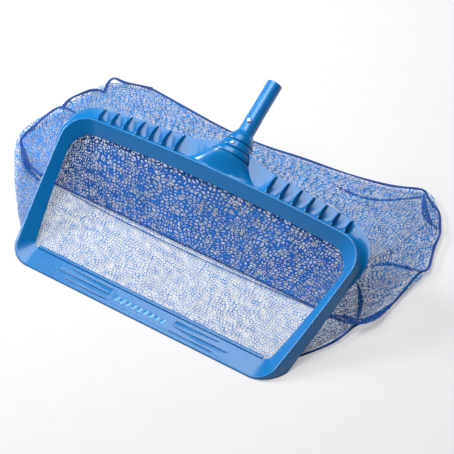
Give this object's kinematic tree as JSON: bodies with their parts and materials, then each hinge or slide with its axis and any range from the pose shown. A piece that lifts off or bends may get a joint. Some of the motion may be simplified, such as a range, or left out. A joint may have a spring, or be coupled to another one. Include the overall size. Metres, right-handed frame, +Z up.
{
  "type": "leaf skimmer net",
  "caption": "Pool leaf skimmer: a wide moulded frame with a flat scoop lip and a deep mesh bag behind it, on a stub tube with snap buttons for a telescopic pole.",
  "frame": {"origin": "middle of the lip's flat underside, on the floor", "axes": "+X along the lip, left to right seen from the front; +Y back towards the bag; +Z up"},
  "size_m": [0.7416, 0.4807, 0.179],
  "materials": {
    "moulding": "glossy moulded plastic",
    "tube": "glossy",
    "retainer": "satin moulded plastic",
    "button": "glossy white",
    "spring_steel": "bright strip",
    "fastener": "stainless",
    "net_mesh": "open knitted mesh",
    "binding": "woven tape",
    "cord": "braided"
  },
  "bodies": {
    "skimmer": {"bag_floor_panel": "net_mesh", "bag_left_gusset": "net_mesh", "bag_reinforced_panel": "net_mesh", "bag_right_gusset": "net_mesh", "bag_tail_panel": "net_mesh", "bag_top_panel": "net_mesh", "clamp_rivets": "fastener", "collar_screws": "fastener", "cross_seam_tape": "binding", "front_clamp": "retainer", "front_frame": "moulding", "front_hem": "binding", "handle_tube": "tube", "hem_cord": "cord", "hem_sleeve": "binding", "left_seam_tape": "binding", "retainer_left": "retainer", "retainer_right": "retainer", "retainer_screws": "fastener", "retainer_top_left": "retainer", "retainer_top_right": "retainer", "right_seam_tape": "binding", "spring_bend": "spring_steel", "stepped_collar": "moulding"},
    "front_button_leg": {"spring_leg_front": "spring_steel", "snap_button_front": "button"},
    "rear_button_leg": {"spring_leg_rear": "spring_steel", "snap_button_rear": "button"}
  },
  "joints": [
    {"name": "front_button_press", "type": "hinge", "parent": "skimmer", "child": "front_button_leg", "pos_m": [0, 0.27857, 0.11526], "axis": [-1, 0, 0], "range_deg": [0, 4.4], "stiffness_Nm_per_rad": 11, "springref_deg": -2.29},
    {"name": "rear_button_press", "type": "hinge", "parent": "skimmer", "child": "rear_button_leg", "pos_m": [0, 0.27857, 0.11526], "axis": [1, 0, 0], "range_deg": [0, 4.4], "stiffness_Nm_per_rad": 11, "springref_deg": -2.29}
  ]
}
